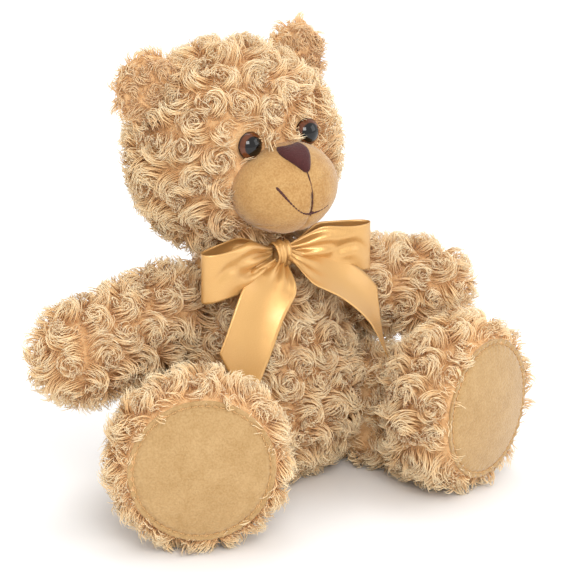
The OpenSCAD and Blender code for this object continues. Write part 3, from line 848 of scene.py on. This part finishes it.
def nose_point(t, s):
    turn = 2 * math.pi * s
    flat = Vector((math.sin(turn), math.cos(turn))) * nose_edge(turn) * min(t, 1.0) * 0.98
    q = muzzle_front(muzzle_at.x + flat.x, flat.y + nose_z)
    thick = nose_t * (1 - min(t, 1.0) ** 3.2) ** 0.5
    return (head_at @ (q + muzzle_normal(q) * (thick - 0.3))) * mm


nose = rolled("nose_velvet", nose_point, 20, 72)
velvet, wire, shader = finish(
    "nose_velvet", dye(70, 26, 26), Roughness=0.85, Sheen_Weight=0.12, Sheen_Roughness=0.35)
place = wire.node("ShaderNodeTexCoord", out="Object")
nap = place.noise(1400.0, 3.0)
crush = place.noise(220.0, 2.0)
feed(shader, "Base Color", (nap * 0.6 + crush * 0.4).tint(dye(50, 17, 18), dye(84, 34, 32)))
raise_grain(shader, wire, nap, 0.0006)
nose.data.materials.append(velvet)
fix(nose, "head", "nose_velvet", "nose")

# ---- Mouth ----
# A smile in brown thread, backstitched over the suede: short stitches that meet end to end.


def stitch_line(name, points, lifts, length, radius, material, reach=0.52):
    """Stitches end to end along these points, each a thread that dips into the cloth at both ends."""
    path = bmesh.new()
    row = [path.verts.new(p) for p in points]
    for a, b in zip(row, row[1:]):
        path.edges.new((a, b))
    mesh = bpy.data.meshes.new(name)
    path.to_mesh(mesh)
    path.free()
    mark = mesh.attributes.new("lift", "FLOAT_VECTOR", "POINT")
    for value, lift in zip(mark.data, lifts):
        value.vector = lift
    piece = new_piece(name, mesh)
    sewing = piece.modifiers.new("stitches", "NODES")
    sewing.node_group = stitches
    sizes = {"Stitch length": length, "Reach": reach, "Thread radius": radius, "Thread": material}
    for size, value in sizes.items():
        sewing[stitch_sizes[size]] = value
    return settle(piece)


stitches = bpy.data.node_groups.new("stitches", "GeometryNodeTree")
stitches.interface.new_socket("Path", in_out="INPUT", socket_type="NodeSocketGeometry")
stitch_sizes = {}
for name, kind in (
    ("Stitch length", "NodeSocketFloat"), ("Reach", "NodeSocketFloat"),
    ("Thread radius", "NodeSocketFloat"), ("Thread", "NodeSocketMaterial"),
):
    socket = stitches.interface.new_socket(name, in_out="INPUT", socket_type=kind)
    stitch_sizes[name] = socket.identifier
stitches.interface.new_socket("Sewn", in_out="OUTPUT", socket_type="NodeSocketGeometry")
g = Wire(stitches)
given = g.node("NodeGroupInput")
line = g.node("GeometryNodeMeshToCurve", None, {"Mesh": given.pick("Path")})
length, radius = given.pick("Stitch length"), given.pick("Thread radius")
steps = g.node("GeometryNodeCurveToPoints", {"mode": "LENGTH"}, {"Curve": line, "Length": length})
lift = g.node("GeometryNodeInputNamedAttribute", {"data_type": "FLOAT_VECTOR"}, {"Name": "lift"})
facing = g.node("FunctionNodeAlignRotationToVector", {"axis": "X"}, {"Vector": steps.pick("Tangent")})
facing = g.node(
    "FunctionNodeAlignRotationToVector", {"axis": "Z", "pivot_axis": "X"},
    {"Rotation": facing, "Vector": lift})
bead = g.node("GeometryNodeMeshUVSphere", None, {"Segments": 8, "Rings": 6, "Radius": 1.0})
longer = g.node("ShaderNodeCombineXYZ", None, {"X": length * given.pick("Reach"), "Y": radius, "Z": radius})
bead = g.node("GeometryNodeTransform", None, {"Geometry": bead, "Scale": longer})
sewn = g.node("GeometryNodeInstanceOnPoints", None, {"Points": steps, "Instance": bead, "Rotation": facing})
sewn = g.node("GeometryNodeRealizeInstances", None, {"Geometry": sewn})
sewn = g.node("GeometryNodeSetShadeSmooth", None, {0: sewn})
sewn = g.node("GeometryNodeSetMaterial", None, {"Geometry": sewn, "Material": given.pick("Thread")})
g.node("NodeGroupOutput", None, {"Sewn": sewn})


def thread(name, colour, dark):
    material, wire, shader = finish(name, colour, Roughness=0.6)
    place = wire.node("ShaderNodeTexCoord", out="Object")
    ply = wire.node("ShaderNodeTexWave", None, {"Vector": place, "Scale": 420.0, "Distortion": 2.0})
    feed(shader, "Base Color", ply.tint(dark, colour))
    raise_grain(shader, wire, ply, 0.0002)
    return material


smile_low = -24.6
smile = []
for i in range(61):
    x = -16 + 26 * i / 60
    smile.append(Vector((x, 0, smile_low + (14 * (x / 15.5) ** 2 if x < 0 else 1.6 * (x / 10) ** 2))))


def on_muzzle(x, z, proud):
    """The point of the muzzle's front at this place, so far proud of it, and the way out."""
    q = muzzle_front(x, z)
    way = muzzle_normal(q)
    return (head_at @ (q + way * proud)) * mm, (head_at.to_3x3() @ way)


brown_thread = thread("brown_thread", dye(88, 42, 32), dye(58, 26, 22))
lip = [on_muzzle(0, z, 0.1) for z in (smile_low + 0.6 * k for k in range(40)) if z < nose_z - nose_h / 2 + 1]
for name, points, length, fat, reach in (
    ("mouth_thread", [on_muzzle(p.x, p.z, 0.1) for p in smile], 0.0018, 0.0008, 0.95),
    ("lip_thread", lip, 0.003, 0.0004, 0.7),
):
    places, lifts = zip(*points)
    mouth = stitch_line(name, places, lifts, length, fat, brown_thread, reach)
    fix(mouth, "head", "thread")
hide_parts("mouth_stitching")

# ---- Eyes ----
# Glossy domes of clear brown plastic with a black pupil behind the dome. The shank goes
# through the cloth, and a toothed washer holds it from inside.

for side, name in ((1, "left"), (-1, "right")):
    dome_r = ((eye_d / 2) ** 2 + eye_dome ** 2) / (2 * eye_dome)
    rise = math.asin(eye_d / 2 / dome_r)

    def eye_point(t, s):
        """From the top of the dome over its rolled rim to the flat back and the shank."""
        if t < 0.6:
            a = t / 0.6 * rise
            r, h = dome_r * math.sin(a), eye_dome - dome_r * (1 - math.cos(a))
        elif t < 0.75:
            a = (t - 0.6) / 0.15 * math.pi / 2
            r, h = eye_d / 2 - 0.5 * (1 - math.cos(a)), -0.5 * math.sin(a)
        elif t < 0.85:
            r, h = eye_d / 2 - 0.5 - (t - 0.75) / 0.1 * (eye_d / 2 - 2.5), -0.5
        else:
            r, h = 2.0, -0.5 - (t - 0.85) / 0.15 * 12.5
        turn = 2 * math.pi * s
        q = Vector((side * eye_at.x + r * math.sin(turn), eye_at.y - h - 1.6, eye_at.z + r * math.cos(turn)))
        return (head_at @ q) * mm

    eye = rolled(f"eye_dome_{name}", eye_point, 40, 64)
    glass, wire, shader = finish(
        f"eye_plastic_{name}", dye(30, 16, 10),
        Roughness=0.07, Specular_IOR_Level=0.3, Coat_Weight=0.3, Coat_Roughness=0.02)
    middle = (head_at @ Vector((side * eye_at.x, eye_at.y, eye_at.z))) * mm
    axis = head_at.to_3x3() @ Vector((0, -1, 0))
    place = wire.node("ShaderNodeTexCoord", out="Object")
    off = wire.vector("SUBTRACT", place, tuple(middle))
    depth = wire.stretch(tuple(axis), wire.vector("DOT_PRODUCT", off, tuple(axis)))
    away = wire.vector("LENGTH", wire.vector("SUBTRACT", off, depth))
    streaks = off.noise(500.0, 3.0)
    iris = (streaks * 0.8 + 0.1).tint(dye(70, 36, 20), dye(114, 66, 38))
    ring = away.between(0.0046, 0.0052) * (1 - away.between(0.0063, 0.0070))
    feed(shader, "Base Color", ring.tint(dye(14, 9, 8), iris))
    eye.data.materials.append(glass)
    fix(eye, "head", "eye_plastic", f"eye_{name}")

# ---- Arms ----
# A stuffed tube of plush, narrow at the shoulder and round at the paw, sewn along its back and
# turned. Its flat inner end turns on the torso, and the paw rests beside the thigh.

shoulder_r, paw_r = 23.5, 25.5
paw_centre = Vector((100, -5, 80))
for side, name in ((1, "left"), (-1, "right")):
    middle, out = shoulder(side)
    top, paw = mirrored(shoulder_centre, side), mirrored(paw_centre, side)
    fat = 2 * (shoulder_r - PLUSH_DEEP)
    wide = 2 * (paw_r - PLUSH_DEEP)
    arm = wrapped(f"arm_skin_{name}", egg(top, fat, fat, fat) + egg(paw, wide, wide, wide))
    cut_beyond(arm, middle + out * 0.7, -out)
    round_off(arm, 3, 3)
    down = (paw - top).normalized()

    def arm_seams(p):
        flat = near((p - middle).dot(out), 3)
        back = near((p - top).cross(down).dot(Vector((0, 0, 1))), 3) if p.y > top.y else 0
        return max(flat, back * 0.8)

    stuff(arm, arm_seams, 3)

    def arm_pile(p):
        return max(0.0, ((p - middle).dot(out) - 1.5) / 5) if (p - middle).length < 40 else 1.0

    pile_on(arm, arm_pile)
    grow(f"arm_pile_{name}", arm, f"{name}_arm", "plush", honey_plush, 41 + side)
    lay_cloth(arm, root_shade_backing, f"{name}_arm", "plush", f"arm_cover_{name}", f"arm_stuffing_{name}")

# ---- Legs ----
# A stuffed tube of plush that widens to a big upright foot. Its inner side is flat where it
# turns on the torso. The foot ends in a rim that the sole's pad is sewn into.

leg_l, foot_r, foot_l, pad_r, pad_t, pad_rise = 98, 44, 22, 35, 2, 5
hip_flat_r, sole_z = 55, 44.5


def leg_place(side, forward, sideways, height):
    """A point by how far it is along the leg, out to its side and above the seat."""
    middle, along, out = hip(side)
    at = mirrored(hip_centre, side) + along * forward + out * sideways
    return Vector((at.x, at.y, height))


def disc_of(side, forward, radius, spokes=96):
    turns = (2 * math.pi * i / spokes for i in range(spokes))
    return [leg_place(side, forward, radius * math.cos(a), sole_z + radius * math.sin(a)) for a in turns]


for side, name in ((1, "left"), (-1, "right")):
    middle, along, out = hip(side)
    fat = 2 * (thigh_r - PLUSH_DEEP)
    shank = egg(leg_place(side, leg_l / 2, 0, hip_centre.z + 1), fat, fat, fat)
    thigh = egg(leg_place(side, 0, 0, hip_centre.z), fat, fat, fat) + shank
    foot = []
    ball = 2 * (foot_r - PLUSH_DEEP)
    for p in egg((0, 0, 0), ball, ball * 0.7, ball):
        foot.append(leg_place(side, min(leg_l - foot_l + p.y, leg_l - pad_rise - 1), p.x, sole_z + p.z))
    foot += disc_of(side, leg_l - pad_t - pad_rise - 3, foot_r - 2 - PLUSH_DEEP)
    foot += disc_of(side, leg_l - pad_rise, pad_r + 1)
    leg = wrapped(f"leg_skin_{name}", thigh)
    boot = wrapped("boot", shank + foot)
    join = leg.modifiers.new("join", "BOOLEAN")
    join.operation, join.object, join.solver = "UNION", boot, "EXACT"
    settle(leg)
    bpy.data.objects.remove(boot)
    # the flat face fades out along the leg, as stuffing bulges again beyond the joint
    turns = (2 * math.pi * i / 64 for i in range(64))
    face = [(hip_flat_r * math.cos(a), hip_flat_r * math.sin(a)) for a in turns]
    cut(leg, prism(face, -100, 0.7, middle, along, UP, out))
    round_off(leg, 3, 4)
    for v in leg.data.vertices:
        v.co.z = max(v.co.z, 1.2 * mm)

    def leg_seams(p):
        d = p - middle
        flat = near(d.dot(out), 3)
        edge = near(d.dot(along) - (leg_l - pad_rise), 4)
        top = near(d.dot(out) - hip_in, 3) if p.z > 30 else 0
        return max(flat, edge, top * 0.8, near(p.z - 1.2, 2))

    stuff(leg, leg_seams, 3)
    for v in leg.data.vertices:
        v.co.z = max(v.co.z, 1.2 * mm)

    def leg_pile(p):
        d = p - middle
        length = 1.0
        from_axis = (d - out * d.dot(out)).length
        if d.dot(out) < 4 and from_axis < hip_flat_r + 4:
            length = max(0.0, (d.dot(out) - 1.2) / 3, min(0.8, (from_axis - thigh_r - hip_room + 4) / 12))
        forward = d.dot(along)
        if forward > leg_l - 12:
            off = math.hypot((p - leg_place(side, 0, 0, 0)).dot(out), p.z - sole_z)
            if off < pad_r + 0.5:
                length = 0.0
            else:
                length = min(length, 0.55 + (off - pad_r) / 14)
        return min(length, 0.3 + max(0.0, (p.z - 2) / 8)) if p.z > 1.9 else 0.0

    pile_on(leg, leg_pile)
    shin = lambda p: (p - middle).dot(along) < 46
    grow(f"leg_pile_{name}", leg, f"{name}_leg", "plush", honey_plush, 51 + side, shin)
    grow(f"foot_pile_{name}", leg, f"{name}_leg", "plush", honey_plush, 55 + side, lambda p: not shin(p))
    lay_cloth(leg, root_shade_backing, f"{name}_leg", "plush", f"leg_cover_{name}", f"leg_stuffing_{name}")

# ---- Foot pads ----
# Round soles of the muzzle's suede, eased into the foot's rim and sewn with small stitches.
# The stuffing crowns them, and the seam puckers their edge.

pad_suede = suede("pad_suede", dye(186, 152, 106), dye(162, 127, 80))
gold_thread = thread("gold_thread", dye(214, 172, 116), dye(170, 126, 76))
for side, name in ((1, "left"), (-1, "right")):
    pad_dome = (pad_r ** 2 + pad_rise ** 2) / (2 * pad_rise)

    def pad_point(t, s):
        turn = 2 * math.pi * s
        if t < 0.88:
            r = t / 0.88 * (pad_r + 0.6)
            h = leg_l - pad_dome + math.sqrt(pad_dome ** 2 - min(r, pad_r) ** 2)
            pucker = 0.35 * math.sin(turn * 46 + 2 * math.sin(turn * 5)) * max(0, (r - 27) / 8)
            hollow = 0.9 * math.exp(-(((r - pad_r + 2.2) / 1.1) ** 2))
            h += pucker - hollow
        else:
            r, h = pad_r + 0.6 - (t - 0.88) * 10, leg_l - pad_rise - (t - 0.88) / 0.12 * 3
        return leg_place(side, h, side * r * math.sin(turn), sole_z + r * math.cos(turn)) * mm

    pad = rolled(f"foot_pad_suede_{name}", pad_point, 48, 192)
    pad.data.materials.append(pad_suede)
    for face in pad.data.polygons:
        face.use_smooth = True
    fix(pad, f"{name}_leg", "suede", f"foot_pad_{name}")
    middle, along, out = hip(side)
    ring = []
    for i in range(193):
        a = 2 * math.pi * i / 192
        r = pad_r - 2.2
        h = leg_l - pad_dome + math.sqrt(pad_dome ** 2 - r ** 2) - 0.55
        ring.append(leg_place(side, h, side * r * math.sin(a), sole_z + r * math.cos(a)) * mm)
    sewing = stitch_line(f"foot_stitches_{name}", ring, [along] * len(ring), 0.0033, 0.0004, gold_thread)
    fix(sewing, f"{name}_leg", "thread")

# ---- Ribbon ----
# A satin ribbon as wide as two fingers, tied round the neck in a bow: two loops and two tails
# come out of the knot, gathered there, and open to the ribbon's full width further out.

ribbon_w, ribbon_thick = 25, 0.35
knot_at = Vector((0, -26.4, 121))
satin, wire, shader = finish(
    "gold_satin", dye(206, 156, 92), Roughness=0.28, Metallic=0.5, Coat_Weight=0.35, Coat_Roughness=0.18)
chart = wire.node("ShaderNodeUVMap", {"uv_map": "OFBake"})
split = wire.node("ShaderNodeSeparateXYZ", None, {0: chart})
ribs = (split.sum("SINE", split * 900.0)) * 0.5 + 0.5
threads = wire.vector("MULTIPLY", chart, (60.0, 4.0, 1.0)).noise(8.0, 3.0)
feed(shader, "Base Color", (threads * 0.6 + 0.2).tint(dye(190, 138, 74), dye(222, 178, 114)))
raise_grain(shader, wire, ribs * 0.3 + threads, 0.00008)


def band(name, point, steps, across, body="torso", stand_for=None, closed=False):
    """A strip of ribbon: point(u, v) gives its middle layer along u and across v, from 0 to 1."""
    strip = bmesh.new()
    chart = strip.loops.layers.uv.new("OFBake")
    rows = [
        [strip.verts.new(point(i / steps, j / across) * mm) for j in range(across + 1)]
        for i in range(steps + (not closed))]
    for i in range(steps):
        n = (i + 1) % len(rows)
        for j in range(across):
            face = strip.faces.new((rows[i][j], rows[n][j], rows[n][j + 1], rows[i][j + 1]))
            for loop, (u, v) in zip(face.loops, ((i, j), (i + 1, j), (i + 1, j + 1), (i, j + 1))):
                loop[chart].uv = (u / steps, v / across)
            face.smooth = True
    mesh = bpy.data.meshes.new(name)
    strip.to_mesh(mesh)
    strip.free()
    ribbon = new_piece(name, mesh)
    thick = ribbon.modifiers.new("thick", "SOLIDIFY")
    thick.thickness, thick.offset = ribbon_thick * mm, 0
    settle(ribbon)
    ribbon.data.materials.clear()
    ribbon.data.materials.append(satin)
    fix(ribbon, body, "satin")
    if stand_for:
        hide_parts(stand_for)
    return ribbon


def ease(t):
    t = max(0.0, min(1.0, t))
    return t * t * (3 - 2 * t)


band_r, band_h = neck_r + 0.9, 8.4


def neckband_point(u, v):
    turn = 2 * math.pi * u
    ripple = 0.35 * math.sin(5 * turn) * math.sin(math.pi * v)
    r = band_r + ripple + 0.3 * math.sin(3 * math.pi * v)
    high = neck.z - neck_h + 0.4 + band_h * v
    return Vector((neck.x + r * math.sin(turn), neck.y - r * math.cos(turn), high))


band(
    "ribbon_neckband_satin", neckband_point, 96, 12,
    stand_for="ribbon_neckband", closed=True)

loop_l, loop_fat = 48, 14
for side, name, turned_by in ((1, "left", 4), (-1, "right", 12)):
    turn = math.radians(turned_by)

    def loop_point(u, v):
        """Out along the front of the loop, round its fold and back to the knot."""
        a = 2 * math.pi * u
        reach = (1 - math.cos(a)) / 2
        reach = reach ** 0.85
        x = 1.5 + (loop_l - 2) * reach
        y = -loop_fat / 2 * 1.05 * math.sin(a) * math.sin(a / 2) ** 0.9
        across = v - 0.5
        opened = ease(reach * 2.1 + 0.03)
        high = (9.5 + (ribbon_w - 9.5) * opened) * across
        pleat = (1 - ease(reach * 1.2)) * 2.0 * math.cos(across * 3 * 2 * math.pi + side)
        crease = 1.8 * math.exp(-((across - 0.12 * math.sin(4 * a)) / 0.12) ** 2) * math.sin(math.pi * reach)
        bulge = 1.5 * math.cos(math.pi * across) * math.sin(math.pi * min(1, reach * 1.1))
        front = -1 if u < 0.5 else 1
        y += front * (pleat - crease + bulge) * min(1, 8 * min(u, 1 - u))
        droop = -2.2 * reach ** 2 + 1.2 * math.sin(2 * math.pi * reach) * across
        p = Vector((side * x, y, high + droop))
        ahead, aside = math.cos(turn), side * math.sin(turn)
        p = Vector((p.x * ahead + p.y * aside, p.y * ahead - p.x * aside, p.z))
        return knot_at + Vector((side * 3.2, 0, 0)) + p

    band(
        f"bow_loop_satin_{name}", loop_point, 96, 20,
        stand_for=f"bow_loop_{name}")


def tail_route(rows, u):
    """A smooth way through the rows of a tail, at u from 0 to 1."""
    t = u * (len(rows) - 1)
    i = min(int(t), len(rows) - 2)
    f = t - i
    a, b, c, d = (Vector(rows[max(0, min(len(rows) - 1, k))]) for k in (i - 1, i, i + 1, i + 2))
    bend = (2 * a - 5 * b + 4 * c - d) * f ** 2 + (3 * b - a - 3 * c + d) * f ** 3
    return 0.5 * (2 * b + (c - a) * f + bend)


def tail_point(rows, turns, slant, phase):
    def point(u, v):
        """Down the tail, whose end is cut on the slant."""
        across = v - 0.5
        u = u * (1 - slant * (v if slant > 0 else v - 1) * ease((u - 0.4) / 0.6))
        middle = tail_route(rows, u)
        ahead = (tail_route(rows, min(1, u + 0.02)) - tail_route(rows, max(0, u - 0.02))).normalized()
        turn = math.radians(turns[0] + (turns[1] - turns[0]) * u)
        level = Vector((math.cos(turn), math.sin(turn), 0))
        level = (level - ahead * level.dot(ahead)).normalized()
        off = level.cross(ahead).normalized()
        wide = 7.5 + (ribbon_w - 7.5) * ease(u * 3.4)
        pleat = (1 - ease(u * 2.6)) * 1.2 * math.cos(across * 6 * math.pi)
        wave = 1.4 * math.sin(5.5 * u + phase) * ease(u * 2) + 1.2 * across * math.sin(7 * u + phase)
        bow = 1.6 * math.cos(2 * math.pi * across * 0.5) * ease(u * 2)
        return middle + level * across * wide + off * (pleat + wave + bow)
    return point


tail_left = [(3, -31, 121), (13, -38, 116), (30, -43, 106), (43, -46, 90), (53, -49, 64)]
tail_right = [(-2, -31, 118), (-10, -38, 112), (-21, -43, 101), (-32, -47, 81), (-42, -48, 61)]
for name, route, turns, slant, phase in (
    ("left", tail_left, (0, 50), 0.3, 0.5), ("right", tail_right, (0, -20), -0.2, 2.0),
):
    band(
        f"ribbon_tail_satin_{name}", tail_point(route, turns, slant, phase), 60, 16,
        stand_for=f"ribbon_tail_{name}")

knot_w, knot_d, knot_h = 9.5, 10, 13.5


def knot_point(u, v):
    """The ribbon's turn round the middle of the bow, pulled tight, with soft folds."""
    a = 2 * math.pi * u
    across = v - 0.5
    fold = 0.45 * math.cos(across * 5 * math.pi + 0.6 * math.sin(a)) + 0.9 * (1 - (2 * across) ** 2)
    high, deep = knot_h / 2 - 0.6 + fold, knot_d / 2 - 0.6 + fold
    wide = knot_w * (0.82 + 0.18 * abs(math.cos(a)))
    return knot_at + Vector((across * wide + 0.4 * math.sin(a), -deep * math.sin(a), high * math.cos(a)))


band(
    "bow_knot_satin", knot_point, 64, 18,
    stand_for="bow_knot", closed=True)
